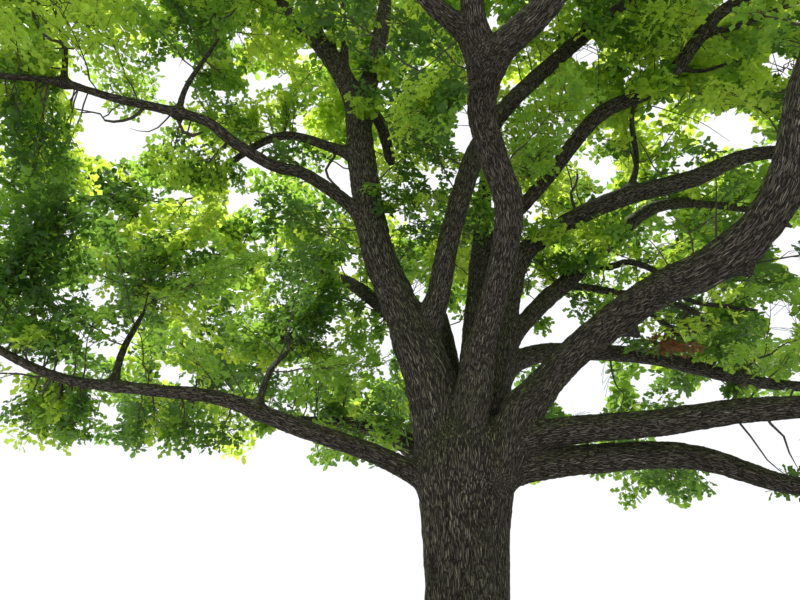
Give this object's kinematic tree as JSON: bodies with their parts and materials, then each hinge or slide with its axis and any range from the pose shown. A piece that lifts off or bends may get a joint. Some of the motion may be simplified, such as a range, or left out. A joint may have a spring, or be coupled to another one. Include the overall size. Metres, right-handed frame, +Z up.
{
  "type": "oak tree",
  "caption": "Old open-grown broadleaf tree with a short thick trunk, a ring of heavy winding boughs and a broad leafy crown.",
  "frame": {"origin": "middle of the flat cut under the trunk, at ground level", "axes": "+Z up the trunk, -Y towards the open side without low branches, +X to the right seen from there"},
  "size_m": [24.328, 21.6922, 20.8163],
  "materials": {
    "bark": "deeply furrowed grey-brown bark with some green moss",
    "leaves": "thin fresh green leaves, lighter where light comes through"
  },
  "bodies": {
    "root": {"trunk": "bark", "left_leader": "bark", "left_leader_fork": "bark", "inner_leader": "bark", "winding_bough": "bark", "winding_bough_left_fork": "bark", "winding_bough_middle_fork": "bark", "rear_leader": "bark", "high_right_limb": "bark", "right_upper_bough": "bark", "upright_branch": "bark", "right_rear_bough": "bark", "right_thin_bough": "bark", "right_middle_bough": "bark", "great_right_bough": "bark", "right_level_bough": "bark", "right_low_bough": "bark", "left_low_bough": "bark", "left_low_outer_branch": "bark", "left_low_inner_branch": "bark", "left_upper_bough": "bark", "left_upper_outer_branch": "bark", "left_upper_inner_branch": "bark", "left_rear_limb": "bark", "rear_left_low_bough": "bark", "rear_low_bough": "bark", "rear_right_low_bough": "bark", "rear_left_bough": "bark", "rear_middle_bough": "bark", "left_crown_top": "leaves", "left_high_crown": "leaves", "right_crown_top": "leaves", "front_right_crown": "leaves", "front_left_crown": "leaves", "front_crown_top": "leaves", "rear_crown_top": "leaves", "rear_left_high_crown": "leaves", "right_front_high_crown": "leaves", "right_high_crown": "leaves", "right_crown": "leaves", "right_inner_crown": "leaves", "right_rear_crown": "leaves", "rear_right_high_crown": "leaves", "right_rear_low_crown": "leaves", "right_low_crown": "leaves", "right_front_crown": "leaves", "right_front_low_crown": "leaves", "right_skirt": "leaves", "left_skirt": "leaves", "left_low_crown": "leaves", "left_inner_low_crown": "leaves", "left_crown": "leaves", "left_outer_high_crown": "leaves", "left_inner_high_crown": "leaves", "left_rear_crown": "leaves", "rear_left_low_crown": "leaves", "rear_low_crown": "leaves", "rear_right_low_crown": "leaves", "rear_left_crown": "leaves", "rear_crown": "leaves"}
  },
  "joints": []
}
